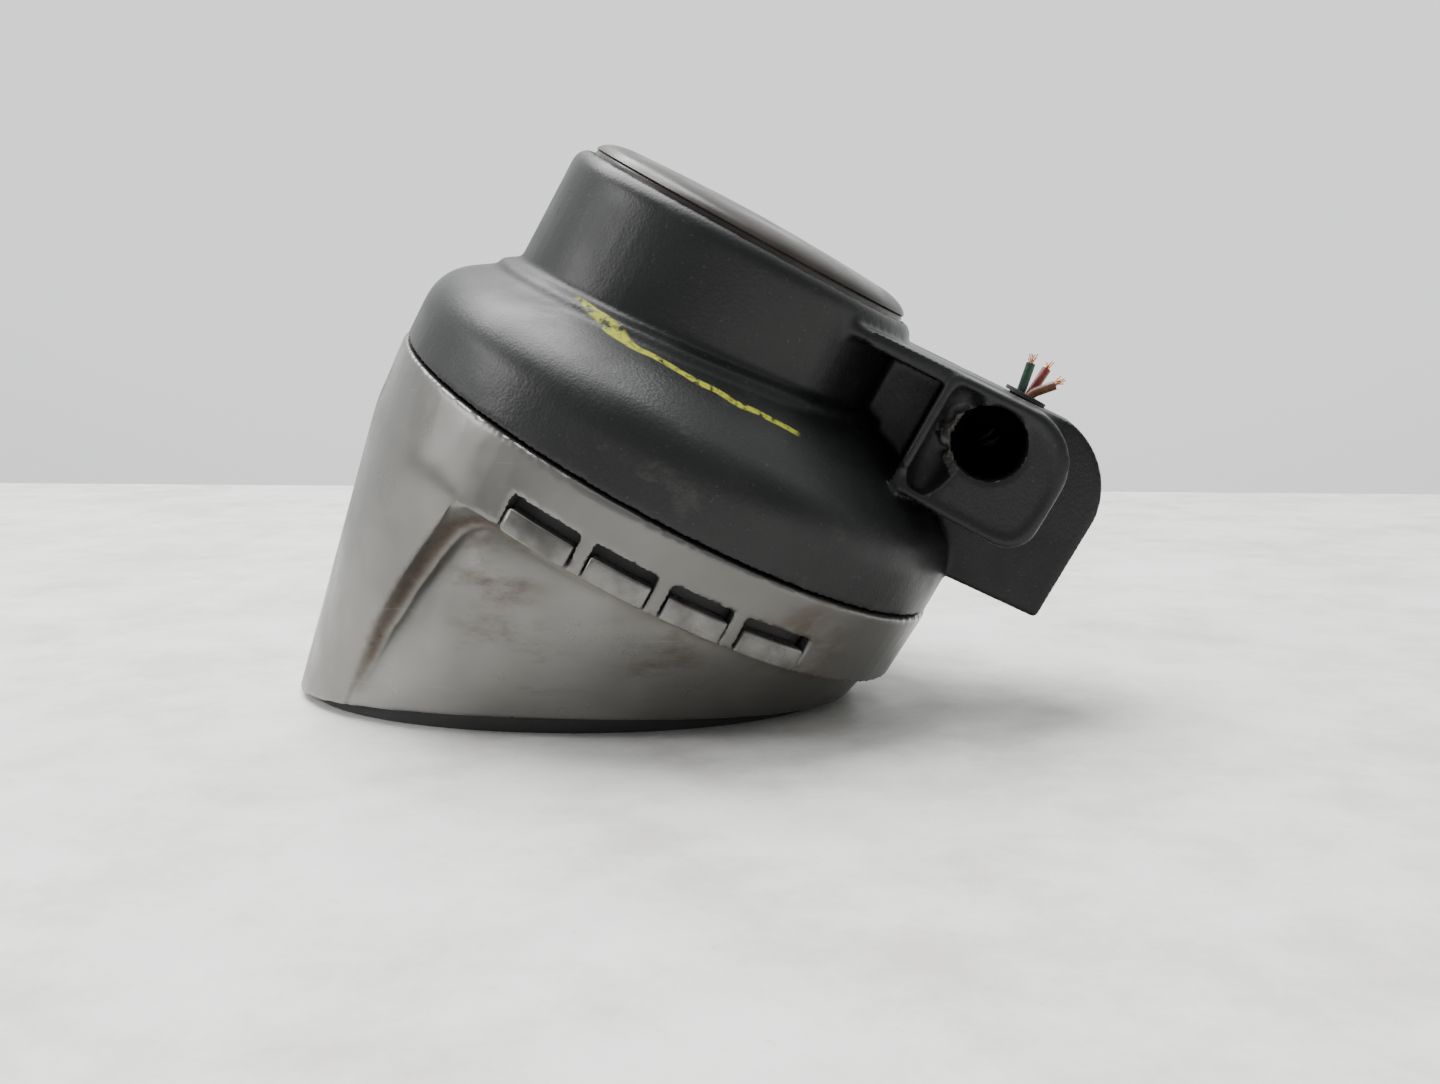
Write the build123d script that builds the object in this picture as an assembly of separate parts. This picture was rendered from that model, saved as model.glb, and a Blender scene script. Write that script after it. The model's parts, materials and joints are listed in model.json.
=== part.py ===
from build123d import *
from math import cos, sin, radians, hypot
import os

# Hooded round instrument pod with four side keys, a rear drum and a bracket arm.
# The pod lies on the lip of its hood: +Z up, +X towards the arm, keys on the -Y side.
# Nearly every piece is turned about the dial axis, so it is modelled in a dial frame,
# whose XY plane is the seam between hood and rear housing and whose +Z points rearwards.

# Driving dimensions, in millimetres and degrees
dial_tilt = 29.15              # lean of the dial axis from vertical, towards +X
rim_radius = 55.0              # hood where it meets the rear housing
rim_centre_x = 20.96           # measured from the centre of the front opening
rim_centre_z = 43.55
front_half_length = 53.6       # the oval front opening's outside
front_half_width = 37.4
front_arch = 2.7               # how much higher the hood's edge stands at its sides
front_edge_height = 0.8
hood_wall = 2.4
liner_gap = 0.3
liner_wall = 1.7
rim_land = 0.4                 # how much thicker the hood is at the rim
tall_side_swell = 0.35         # how far the tall side stands proud of the front oval

band_height = 13.5             # upright collar at the top of the hood
band_foot_radius = 54.4
band_inner_radius = 52.0
scoop_top = (-15.0, 2.0)       # crease where the scooped sides end, towards the tall side
scoop_middle = (-24.5, -24.0)
scoop_end = (-28.5, -44.0)
hollow_low = -10.9             # foot of the collar's round bore

key_row_centre = -74.6         # angle about the dial axis
inner_key_arc = 11.3
outer_key_arc = 13.4
key_gap_arc = 3.2
key_side_clearance_arc = 0.28
window_top = -7.2
window_foot = -13.6
key_top = -9.4
key_foot = -13.3
key_face_radius = 54.85
key_back_radius = 50.2
key_plunger_radius = 48.9
key_edge_bevel = 0.35

dome_radius = 54.6
dome_crown = 31.0
dome_sphere_radius = 89.5
dome_shoulder = 9.5
shell_wall = 2.4
seam_gap = 0.4

drum_offset = -7.5             # drum axis from the dial axis, away from the arm
drum_radius = 35.5
drum_top_radius = 34.9
drum_top = 44.6
drum_edge_round = 3.2
lip_width = 3.0                # low step round the foot of the drum
lip_height = 1.1
bay_radius = 30.4              # the drum's hollow over the dome
cap_radius = 32.0
cap_clearance = 0.25
cap_seat = 42.3
cap_low = 43.1
cap_crown = 48.7
cap_wall = 1.6
cap_plate_low = 46.1           # underside of the cap's plate

arm_half_gap = 5.5             # inside half width of the arm's channel
arm_wall = 2.5
arm_end_u = 72.1
arm_corner = (60.0, 43.2)      # where the long top turns into the rounded end
arm_foot_w = 9.8
arm_heel = (50.0, 8.0)
boss_left, boss_right, boss_low = 37.0, 62.8, 19.4
boss_reach = 24.0              # how far each screw boss stands out from the middle plane
well_u, well_w = 48.5, 34.0
well_radius = 6.3
well_wall = 2.2
well_floor_v = 9.5
screw_hole_radius = 1.9

face_radius = 43.4             # lens and dial
lens_low, lens_high = -11.5, -9.5
dial_low, dial_high = -3.6, -2.8
guide_high = 0.2
board_low, board_high = 2.2, 3.8
motor_high = 13.0
shaft_radius = 0.75
shaft_bore_radius = 0.8
shaft_way_radius = 2.2
motor_radius = 14.0
pointer_length = 35.0
pointer_rest_angle = 60.0
lcd_u = 24.0
lcd_height, lcd_width = 14.0, 28.0

chassis_screw_reach = 49.0
board_screw_reach = 39.5
post_reach = 25.0
post_radius = 3.2
post_top = 20.0
pad_top = 28.6
flange_low, flange_high = -1.4, 0.4
screw_boss_radius = 3.1
small_screw_radius = 1.1
long_screw_radius = 1.4

ribbon_half_arc = 5.0
wire_radius = 0.85
grommet_u, grommet_v = 51.0, 1.5
grommet_seat = 42.95

clear_of_all = 120.0           # further out than any piece


def along_dial(x, y, z):
    """A point of the standing frame, given in the dial frame."""
    dx, dz = x - rim_centre_x, z - rim_centre_z
    lean = radians(dial_tilt)
    return Vector(dx * cos(lean) - dz * sin(lean), y, dx * sin(lean) + dz * cos(lean))


def level_plane(height):
    """The level plane at a height above the table, in the dial frame."""
    lean = radians(dial_tilt)
    return Plane(
        origin=along_dial(0, 0, height),
        x_dir=(cos(lean), 0, sin(lean)),
        z_dir=(-sin(lean), 0, cos(lean)),
    )


def disc(radius, low, high, centre=(0, 0)):
    """Round plate about the dial axis, or about an axis beside it."""
    return extrude(Plane((*centre, low)) * Circle(radius), amount=high - low)


def ring(inner, outer, low, high, centre=(0, 0)):
    """Flat ring with square edges."""
    return disc(outer, low, high, centre) - disc(inner, low - 1, high + 1, centre)


def ring_sector(inner, outer, low, high, start, end):
    """Block bounded by two radii, two heights and two angles."""
    first = Vector(cos(radians(start)), sin(radians(start)))
    last = Vector(cos(radians(end)), sin(radians(end)))
    edges = [
        CenterArc((0, 0), outer, start, end - start),
        Line(last * outer, last * inner),
        CenterArc((0, 0), inner, start, end - start),
        Line(first * inner, first * outer),
    ]
    return extrude(Plane((0, 0, low)) * make_face(edges), amount=high - low)


def tapered_form(top_radius, top, half_length, half_width):
    """Closed form from a circle about the dial axis down to an oval on the table."""
    circle = Plane((0, 0, top)) * Circle(top_radius)
    oval = level_plane(0) * Ellipse(half_length, half_width)
    return loft([oval, circle], ruled=True)


def arm_prism(outline, low, high):
    """Outline given along the arm and rearwards, as thick as its two side positions say."""
    profile = Plane(origin=(0, low, 0), x_dir=(1, 0, 0), z_dir=(0, -1, 0)) * outline
    return extrude(profile, amount=low - high)


def under_arch():
    """Everything below the hood's arched front edge."""
    reach = 70
    ends = front_edge_height + front_arch * (reach / front_half_width) ** 2
    arch = ThreePointArc((-reach, ends), (0, front_edge_height), (reach, ends))
    floor = Polyline((-reach, ends), (-reach, -reach), (reach, -reach), (reach, ends))
    profile = make_face([arch, *floor.edges()])
    lean = radians(dial_tilt)
    across = Plane(
        origin=along_dial(-clear_of_all, 0, 0),
        x_dir=(0, 1, 0),
        z_dir=(cos(lean), 0, sin(lean)),
    )
    return extrude(across * profile, amount=2 * clear_of_all)


def key_arcs():
    """Start and end angle of each key, from the tall side to the arm."""
    spans = [outer_key_arc, inner_key_arc, inner_key_arc, outer_key_arc]
    total = sum(spans) + 3 * key_gap_arc
    start = key_row_centre - total / 2
    arcs = []
    for span in spans:
        arcs.append((start, start + span))
        start += span + key_gap_arc
    return arcs


def places_round(reach, angles, centre_u=0.0):
    """Points on a circle about an axis beside the dial axis."""
    return [(centre_u + reach * cos(radians(a)), reach * sin(radians(a))) for a in angles]


def chassis_screw_places():
    return places_round(chassis_screw_reach, (22, 92, 152, 222))


def post_places():
    return places_round(post_reach, (60, 180, 300), drum_offset)


def board_screw_places():
    return places_round(board_screw_reach, (20, 130, 230))


def at_places(shape, places):
    """One copy of a shape at each place."""
    return [Pos(x, y, 0) * shape for x, y in places]


def bezel_hood():
    """Silver hood: round collar, plain tall side, scooped flanks, arched front edge."""
    scooped = tapered_form(rim_radius, 0, front_half_length, front_half_width)
    collar = loft(
        [
            Plane((0, 0, -band_height)) * Circle(band_foot_radius),
            Circle(rim_radius),
        ],
        ruled=True,
    )
    plain = tapered_form(
        band_foot_radius, -band_height, front_half_length + tall_side_swell,
        front_half_width + tall_side_swell,
    )
    crease = ThreePointArc(scoop_top, scoop_middle, scoop_end)
    sweep_back = Polyline(
        scoop_end, (scoop_end[0], -clear_of_all), (-clear_of_all, -clear_of_all),
        (-clear_of_all, scoop_top[1]), scoop_top,
    )
    tall_side = arm_prism(make_face([crease, *sweep_back.edges()]), -clear_of_all, clear_of_all)
    hood = scooped + collar + (plain & tall_side)
    hollow = tapered_form(
        rim_radius - hood_wall - rim_land, 0, front_half_length - hood_wall,
        front_half_width - hood_wall,
    )
    hood -= hollow
    hood -= disc(band_inner_radius, hollow_low, 1)
    hood += at_places(disc(screw_boss_radius, -11, flange_low), chassis_screw_places())
    hood -= at_places(disc(small_screw_radius, -9, 0), chassis_screw_places())
    for start, end in key_arcs():
        hood -= ring_sector(
            46, 57, window_foot, window_top,
            start - key_side_clearance_arc, end + key_side_clearance_arc,
        )
    return hood - under_arch()


def hood_liner():
    """Black liner of the viewing hood. The pod stands on its edge."""
    inset = hood_wall + liner_gap
    outside = tapered_form(
        face_radius + 0.4, lens_low, front_half_length - inset, front_half_width - inset
    )
    inset += liner_wall
    inside = tapered_form(
        face_radius + 0.3 - liner_wall, lens_low, front_half_length - inset,
        front_half_width - inset,
    )
    return outside - inside


def key(start, end):
    """Push key: bevelled face in the collar's window, a retaining flange and a plunger."""
    face = ring_sector(key_back_radius, key_face_radius, key_foot, key_top, start, end)
    front = key_face_radius - 0.1
    front_edges = face.edges().filter_by(
        lambda e: hypot((e @ 0).X, (e @ 0).Y) > front and hypot((e @ 1).X, (e @ 1).Y) > front
    )
    face = chamfer(front_edges, key_edge_bevel)
    flange = ring_sector(key_back_radius, 51.6, -10.6, -5.9, start - 0.9, end + 0.9)
    middle = (start + end) / 2
    plunger = ring_sector(key_plunger_radius, key_back_radius, -11.6, -8.6, middle - 2, middle + 2)
    return face + flange + plunger


def key_carrier():
    """Curved plastic strip that backs the switches, clipped round the chassis."""
    first, last = key_arcs()[0][0] - 2, key_arcs()[-1][1] + 2
    strip = ring_sector(45.5, 46.2, -13.2, -4.5, first, last)
    strip += ring_sector(45.5, 51.0, -4.5, -3.6, first + 1, last - 1)
    return strip


def key_circuit():
    """Flexible circuit with the contact pads."""
    first, last = key_arcs()[0][0] - 1.5, key_arcs()[-1][1] + 1.5
    return ring_sector(46.2, 46.4, -12.8, -5.0, first, last)


def key_mat():
    """Rubber switch mat with one dome behind each key."""
    first, last = key_arcs()[0][0] - 1, key_arcs()[-1][1] + 1
    mat = ring_sector(46.4, 47.1, -12.6, -5.4, first, last)
    for start, end in key_arcs():
        middle = (start + end) / 2
        mat += ring_sector(47.0, 47.8, -12.2, -8.0, middle - 2.6, middle + 2.6)
    return mat


def lens():
    """Clear front window."""
    return disc(face_radius, lens_low, lens_high)


def lens_gasket():
    return ring(face_radius - 1.6, face_radius, lens_high, lens_high + 0.7)


def dial_ring():
    """Black spacer ring between the lens gasket and the dial."""
    return ring(face_radius - 1.2, face_radius, lens_high + 0.7, dial_low)


def lcd_block(margin, low, high):
    """Block of the display's outline, on the arm side of the dial's middle."""
    size = Vector(lcd_height + margin, lcd_width + margin)
    return Pos(lcd_u, 0, (low + high) / 2) * Box(size.X, size.Y, high - low)


def dial_plate():
    """Thin printed dial with a window for the display."""
    return disc(face_radius, dial_low, dial_high) - disc(shaft_way_radius, -9, 3) - lcd_block(-2, -9, 3)


def lcd_module():
    """Small display behind the dial window."""
    return lcd_block(0, dial_high, board_low - 0.2)


def light_guide():
    """Clear plate that spreads the lamps' light behind the dial."""
    guide = disc(face_radius - 0.6, dial_high, guide_high)
    return guide - disc(shaft_way_radius, -9, 3) - lcd_block(0.6, -9, 3)


def chassis():
    """Round frame that carries dial, light guide and board, with posts for the housing."""
    body = ring(face_radius + 0.2, face_radius + 1.6, lens_low + 0.2, 5.4)
    body += ring(40.5, face_radius + 0.6, guide_high, board_low)
    body += ring(face_radius + 1.2, 50.6, flange_low, flange_high)
    for angle in (77, 180, -77):
        spoke = Pos(32, 0, (guide_high + board_low) / 2) * Box(23, 7, board_low - guide_high)
        body += Rot(0, 0, angle) * spoke
    body += at_places(disc(3.4, guide_high, board_low), board_screw_places())
    body += at_places(disc(post_radius, guide_high, post_top), post_places())
    body -= at_places(disc(small_screw_radius + 0.3, -5, 5), chassis_screw_places())
    body -= at_places(disc(small_screw_radius, -1, 5), board_screw_places())
    body -= at_places(disc(long_screw_radius, 12, 40), post_places())
    slot_arc = ribbon_half_arc + 1
    body -= ring_sector(
        45.0, 45.7, flange_low - 1, flange_high + 1, key_row_centre - slot_arc, key_row_centre + slot_arc
    )
    return body


def screw(radius, head_radius, head_height, low, seat):
    """Pan-head screw with a cross recess, its head above the seat."""
    head = disc(head_radius, seat, seat + head_height)
    head = fillet(head.edges().sort_by(Axis.Z)[-1], head_height * 0.45)
    slot = Pos(0, 0, seat + head_height) * Box(head_radius * 1.1, head_radius * 0.28, head_height)
    return disc(radius, low, seat) + head - slot - Rot(0, 0, 90) * slot


def chassis_screws():
    return at_places(screw(small_screw_radius, 1.7, 1.3, -8.6, flange_high), chassis_screw_places())


def board_screws():
    return at_places(screw(small_screw_radius, 2.2, 1.5, 0.4, board_high), board_screw_places())


def housing_screws():
    return at_places(screw(long_screw_radius, 3.0, 2.0, 12.6, pad_top), post_places())


def main_board():
    """Round circuit board, cut round the posts."""
    board = disc(face_radius, board_low, board_high) - disc(shaft_way_radius, 0, 9)
    board -= at_places(disc(post_radius + 0.5, 0, 9), post_places())
    board -= at_places(disc(small_screw_radius + 0.2, 0, 9), board_screw_places())
    return board


def board_lamps():
    """Small lamps on the board's dial side, each under the light guide."""
    lamp = Pos(0, 0, board_low - 0.7) * Box(3.0, 2.4, 1.4)
    return at_places(lamp, places_round(20.0, (110, 150, 210, 250)))


def ribbon_cable():
    """Flat cable from the key circuit, round the carrier and over the chassis to the board."""
    first, last = key_row_centre - ribbon_half_arc, key_row_centre + ribbon_half_arc
    strip = ring_sector(45.1, 45.4, -13.5, 5.9, first, last)
    strip += ring_sector(45.1, 46.4, -13.5, -13.25, first, last)
    strip += ring_sector(46.2, 46.4, -13.5, -12.8, first, last)
    strip += ring_sector(41.0, 45.4, 5.6, 5.9, first, last)
    strip += ring_sector(41.0, 41.3, board_high, 5.9, first, last)
    return strip


def pointer_motor():
    """Stepper motor behind the board, with a bore for its shaft."""
    case = disc(motor_radius, board_high, motor_high)
    case = fillet(case.edges().sort_by(Axis.Z)[-1], 1.0)
    ears = Pos(0, 0, board_high + 1) * Box(2 * motor_radius + 6, 7, 2)
    return case + ears - disc(shaft_bore_radius, 0, 9.5)


def motor_shaft():
    return disc(shaft_radius, -6.2, 9.0)


def pointer():
    """Tapered needle with a counterweight tail, pressed on the shaft by its hub."""
    outline = Polyline(
        (-9, -1.6), (-9, 1.6), (0, 2.2), (pointer_length, 0.5), (pointer_length, -0.5),
        (0, -2.2), (-9, -1.6),
    )
    needle = extrude(Plane((0, 0, -6.6)) * make_face(outline), amount=1.2)
    body = Rot(0, 0, pointer_rest_angle) * needle + disc(3.2, -6.6, -4.4)
    return body - disc(shaft_radius, -9, 0)


def pointer_cap():
    cap = disc(5.5, -8.8, -6.6)
    return fillet(cap.edges().sort_by(Axis.Z)[0], 1.4)


def dome_form(inset):
    """Rounded shoulder of the rear housing, or its hollow when inset by the wall."""
    radius = dome_radius - inset
    column = Pos(radius / 2, 30) * Rectangle(radius, 60 - 2 * seam_gap)
    crown = Pos(0, dome_crown - dome_sphere_radius) * Circle(dome_sphere_radius - inset)
    profile = column & crown
    corner = profile.vertices().group_by(Axis.X)[-1].sort_by(Axis.Y)[-1]
    profile = fillet(corner, dome_shoulder - inset)
    return revolve(Plane.XZ * profile, Axis.Z)


def arm_outline(inset):
    """Side view of the arm: long top, rounded end, sharp lower corner."""
    end = arm_end_u - inset
    open_below = -20
    foot = arm_foot_w if inset == 0 else open_below
    heel = (arm_heel[0], arm_heel[1] if inset == 0 else open_below)
    root, root_top = 20, 41.0 - inset
    corner = (arm_corner[0], arm_corner[1] - inset)
    return make_face(
        [
            Line((root, root_top), corner),
            ThreePointArc(corner, (68.8 - inset * 0.7, 38.0 - inset * 0.7), (end, 30.4)),
            Line((end, 30.4), (end, foot)),
            Line((end, foot), heel),
            Line(heel, (root, 20)),
            Line((root, 20), (root, root_top)),
        ]
    )


def boss_outline(inset):
    """Side view of a screw boss, from the rib beside the drum to its rounded end."""
    left, right, low = boss_left + inset, boss_right - inset, boss_low + inset
    return make_face(
        [
            Line((left, low), (left, 41.7 - inset)),
            Line((left, 41.7 - inset), (54.0, 42.6 - inset)),
            ThreePointArc((54.0, 42.6 - inset), (60.4 - inset * 0.7, 39.2 - inset * 0.7), (right, 33.0)),
            Line((right, 33.0), (right, 25.0)),
            ThreePointArc((right, 25.0), (61.2 - inset * 0.7, 21.0 + inset * 0.7), (57.4, low)),
            Line((57.4, low), (left, low)),
        ]
    )


def side_boss():
    """Screw boss on the key side: shell, rib, recess and a deep screw well."""
    back = -arm_half_gap - arm_wall
    boss = arm_prism(boss_outline(0), -boss_reach, back)
    web = Polyline((17, 38.3), (17, 40.85), (38, 41.8), (38, 39.2), (17, 38.3))
    boss += arm_prism(make_face(web), -boss_reach, back)
    hollow = arm_prism(boss_outline(arm_wall), -boss_reach + arm_wall, back + 1)
    hollow -= Pos(40, -boss_reach / 2, 30) * Box(10, boss_reach, 40)
    tube = arm_prism(Pos(well_u, well_w) * Circle(well_radius + well_wall), -boss_reach, back)
    recess = Pos(40.9, -boss_reach + 3, 31) * Box(4.2, 6, 18)
    return boss - (hollow - tube) - recess


def screw_ways():
    """What the two screw wells and the key side's screw hole take away."""
    well = arm_prism(Pos(well_u, well_w) * Circle(well_radius), -boss_reach - 1, -well_floor_v)
    hole = arm_prism(Pos(well_u, well_w) * Circle(screw_hole_radius), -boss_reach, -arm_half_gap + 1)
    return well + mirror(well, about=Plane.XZ) + hole


def rear_housing():
    """Black rear shell: domed shoulder, drum and hollow bracket arm in one moulding."""
    drum = Pos(drum_offset, 0, 12) * Cone(
        drum_radius, drum_top_radius, drum_top - 12, align=(Align.CENTER, Align.CENTER, Align.MIN)
    )
    drum = fillet(drum.edges().sort_by(Axis.Z)[-1], drum_edge_round)
    crown_centre = Pos(0, 0, dome_crown - dome_sphere_radius)
    lip = disc(drum_radius + lip_width, 5, 40, (drum_offset, 0))
    lip &= crown_centre * Sphere(dome_sphere_radius + lip_height)
    arm = arm_prism(arm_outline(0), -arm_half_gap - arm_wall, arm_half_gap + arm_wall)
    boss = side_boss()
    arm = arm + boss + mirror(boss, about=Plane.XZ)
    arm -= arm_prism(arm_outline(arm_wall), -arm_half_gap, arm_half_gap)
    arm -= screw_ways()
    arm -= disc(3.0, 36, 50, (grommet_u, grommet_v))
    outside = dome_form(0)
    shell = outside + drum + lip + arm
    bay = disc(bay_radius, 10, 70, (drum_offset, 0))
    shell -= bay - crown_centre * Sphere(dome_sphere_radius)
    shell -= disc(cap_radius + cap_clearance, cap_seat, 70, (drum_offset, 0))
    shell -= dome_form(shell_wall)
    shell += ring(50.9, dome_radius, seam_gap, 2.4) + ring(50.9, 51.8, -1.2, 2.4)
    shell += at_places(disc(5.2, post_top + 0.2, pad_top), post_places())
    shell -= at_places(disc(3.4, pad_top, 40), post_places())
    shell -= at_places(disc(long_screw_radius + 0.3, 15, 40), post_places())
    shell -= disc(4.6, 10, 26, (39.5, grommet_v))
    return shell


def rear_cap():
    """Domed cover that closes the drum."""
    top = make_face(
        [
            ThreePointArc((0, cap_crown), (12, cap_crown - 0.2), (24, cap_crown - 0.8)),
            ThreePointArc((24, cap_crown - 0.8), (28.9, 46.9), (cap_radius, 44.9)),
            Line((cap_radius, 44.9), (cap_radius, cap_low)),
            Line((cap_radius, cap_low), (0, cap_low)),
            Line((0, cap_low), (0, cap_crown)),
        ]
    )
    cap = Pos(drum_offset, 0, 0) * revolve(Plane.XZ * top, Axis.Z)
    return cap - disc(cap_radius - cap_wall, 40, cap_plate_low, (drum_offset, 0))


def cap_seal():
    return ring(cap_radius - 1.5, cap_radius + 0.1, cap_seat, cap_low, (drum_offset, 0))


def board_connector():
    """Plug socket on the back of the board, where the three wires start."""
    return Pos(30.5, grommet_v, board_high + 4) * Box(7, 9, 8)


def wire_exits():
    """Where the wires pass the grommet: a small triangle."""
    return [(x, grommet_v + y) for x, y in places_round(1.2, (60, 180, 300), grommet_u)]


def wire_grommet():
    """Rubber grommet in the arm's top, with a hole for each wire."""
    body = disc(3.0, 39.4, grommet_seat + 0.7, (grommet_u, grommet_v))
    body += disc(4.0, grommet_seat, grommet_seat + 0.7, (grommet_u, grommet_v))
    return body - at_places(disc(wire_radius + 0.03, 30, 60), wire_exits())


def wire(number, tip):
    """Wire from the board socket through the arm to its cut end past the grommet."""
    exit_u, exit_v = wire_exits()[number]
    lane = grommet_v + 2.4 * (1 - number)
    points = [
        (30.5, lane, board_high + 8),
        (30.5, lane, 16.0),
        (37.5, lane, 18.0),
        (42.5, lane, 25.5),
        (exit_u - 1.5, exit_v, 33.0),
        (exit_u, exit_v, 37.2),
        (exit_u, exit_v, grommet_seat + 1.2),
        tip,
    ]
    radii = [2.5, 6.0, 14.0, 8.0, 8.0, 3.0]
    path = FilletPolyline(*points, radius=radii)
    profile = Plane(origin=path @ 0, z_dir=path % 0) * Circle(wire_radius)
    return sweep(profile, path=path)


def all_pieces():
    """Every piece by name, in the dial frame."""
    pieces = {
        "bezel_hood": bezel_hood(),
        "hood_liner": hood_liner(),
        "lens": lens(),
        "lens_gasket": lens_gasket(),
        "dial_ring": dial_ring(),
        "dial_plate": dial_plate(),
        "lcd_module": lcd_module(),
        "light_guide": light_guide(),
        "pointer": pointer(),
        "pointer_cap": pointer_cap(),
        "motor_shaft": motor_shaft(),
        "pointer_motor": pointer_motor(),
        "main_board": main_board(),
        "board_lamps": board_lamps(),
        "board_connector": board_connector(),
        "board_screws": board_screws(),
        "chassis": chassis(),
        "chassis_screws": chassis_screws(),
        "key_carrier": key_carrier(),
        "key_circuit": key_circuit(),
        "key_mat": key_mat(),
        "ribbon_cable": ribbon_cable(),
        "rear_housing": rear_housing(),
        "housing_screws": housing_screws(),
        "rear_cap": rear_cap(),
        "cap_seal": cap_seal(),
        "wire_grommet": wire_grommet(),
        "wire_green": wire(1, (48.9, 2.0, 48.9)),
        "wire_red": wire(0, (52.0, 4.2, 49.3)),
        "wire_brown": wire(2, (54.6, 0.2, 47.6)),
    }
    for number, (start, end) in enumerate(key_arcs(), start=1):
        pieces[f"key_{number}"] = key(start, end)
    return pieces


def standing_frame(middle_x=0.0):
    """Placement of the dial frame on the table."""
    lean = radians(dial_tilt)
    plane = Plane(
        origin=(rim_centre_x - middle_x, 0, rim_centre_z),
        x_dir=(cos(lean), 0, -sin(lean)),
        z_dir=(sin(lean), 0, cos(lean)),
    )
    return plane.location


def as_compound(piece):
    """One shape for export, whether a piece is a solid or a group of solids."""
    if isinstance(piece, list):
        return Compound(children=[s for part in piece for s in part.solids()])
    return Compound(children=list(piece.solids()))


def main():
    os.makedirs("parts", exist_ok=True)
    pieces = {name: as_compound(piece) for name, piece in all_pieces().items()}
    standing = [standing_frame() * piece for piece in pieces.values()]
    boxes = [shape.bounding_box() for shape in standing]
    low = min(box.min.X for box in boxes)
    high = max(box.max.X for box in boxes)
    place = standing_frame((low + high) / 2)
    for name, piece in pieces.items():
        export_step(place * piece, f"parts/{name}.step")


if __name__ == "__main__":
    main()
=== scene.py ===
"""Hooded instrument pod: its visible pieces and finishes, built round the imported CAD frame."""

import json
from math import cos, pi, radians, sin, tau

import bpy
import numpy as np
from mathutils import Matrix, Vector


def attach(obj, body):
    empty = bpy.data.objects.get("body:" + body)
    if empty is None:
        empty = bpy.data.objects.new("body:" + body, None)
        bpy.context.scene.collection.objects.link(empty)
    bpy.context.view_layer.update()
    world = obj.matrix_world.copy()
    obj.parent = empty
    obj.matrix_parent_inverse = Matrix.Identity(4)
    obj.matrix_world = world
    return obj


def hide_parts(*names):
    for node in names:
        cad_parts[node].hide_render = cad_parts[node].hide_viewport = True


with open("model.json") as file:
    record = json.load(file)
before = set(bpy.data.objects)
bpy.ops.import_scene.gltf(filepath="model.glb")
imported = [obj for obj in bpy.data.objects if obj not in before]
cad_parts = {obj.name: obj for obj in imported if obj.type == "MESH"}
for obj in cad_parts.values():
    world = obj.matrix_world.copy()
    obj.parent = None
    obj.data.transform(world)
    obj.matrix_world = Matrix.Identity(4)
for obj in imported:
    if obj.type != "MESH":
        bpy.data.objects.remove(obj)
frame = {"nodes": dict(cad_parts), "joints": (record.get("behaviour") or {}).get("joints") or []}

bl_info = {
    "name": "Hooded Instrument Pod",
    "version": (1, 0, 0),
    "blender": (4, 5, 0),
    "location": "View3D > Sidebar > Pod",
    "description": "Builds the pod's hood, keys, housing, cap, wires and face with their finishes",
    "category": "Object",
}

MM = 0.001
CASE = "case"
KEY_COUNT = 4
PAINT_METAL = 0.75
CREASE_SHADE = "grime_and_shade"

# The dial frame, in millimetres: u runs towards the arm, v away from the keys, and w rearwards
# along the dial axis. Its origin is the middle of the hood's seam.
POINTER_TURN = next(j for j in frame["joints"] if j["name"] == "pointer_turn")
DIAL_W = Vector(POINTER_TURN["axis"]).normalized()
DIAL_V = Vector((0, 1, 0))
DIAL_U = DIAL_V.cross(DIAL_W)
PIVOT_TO_SEAM = 4.4 * MM
SEAM_CENTRE = Vector(POINTER_TURN["pos_m"]) + DIAL_W * PIVOT_TO_SEAM
STEP_W = -13.5
ARCH = 7.0
DRUM_U = -7.5
WELL_U, WELL_W = 48.5, 34.0
WELL_REACH = 6.75
HOOD_FACES, HOUSING_FACES = 190000, 195000
CREASE = [(-15, 2), (-20.6, -10), (-24.5, -24), (-27, -34), (-28.5, -44), (-29, -75)]
DIAL_PLACE = Matrix.Translation(SEAM_CENTRE) @ Matrix((DIAL_U, DIAL_V, DIAL_W)).transposed().to_4x4()
INTO_DIAL = DIAL_PLACE.inverted()


# Sizes and colours that a user may change

class PodPaint(bpy.types.PropertyGroup):
    """The hood's satin paint."""
    silver: bpy.props.FloatVectorProperty(
        name="Silver", description="Paint colour of the hood and keys",
        default=(0.168, 0.165, 0.155), subtype="COLOR", size=3, min=0, max=1)
    shade: bpy.props.FloatVectorProperty(
        name="Shade", description="Darker tone of the paint's slow variation",
        default=(0.088, 0.086, 0.080), subtype="COLOR", size=3, min=0, max=1)
    # This brown also colours the painted shade along the crease and under the ledge.
    dirt_and_shade: bpy.props.FloatVectorProperty(
        name="Dirt", description="Brown smudges in the scoop",
        default=(0.070, 0.048, 0.034), subtype="COLOR", size=3, min=0, max=1)
    rubbed: bpy.props.FloatVectorProperty(
        name="Rubbed", description="Bright paint in hairline scratches",
        default=(0.340, 0.336, 0.315), subtype="COLOR", size=3, min=0, max=1)
    gloss_roughness: bpy.props.FloatProperty(
        name="Roughness", description="Roughness of clean paint",
        default=0.36, subtype="FACTOR", min=0, max=1)


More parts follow.
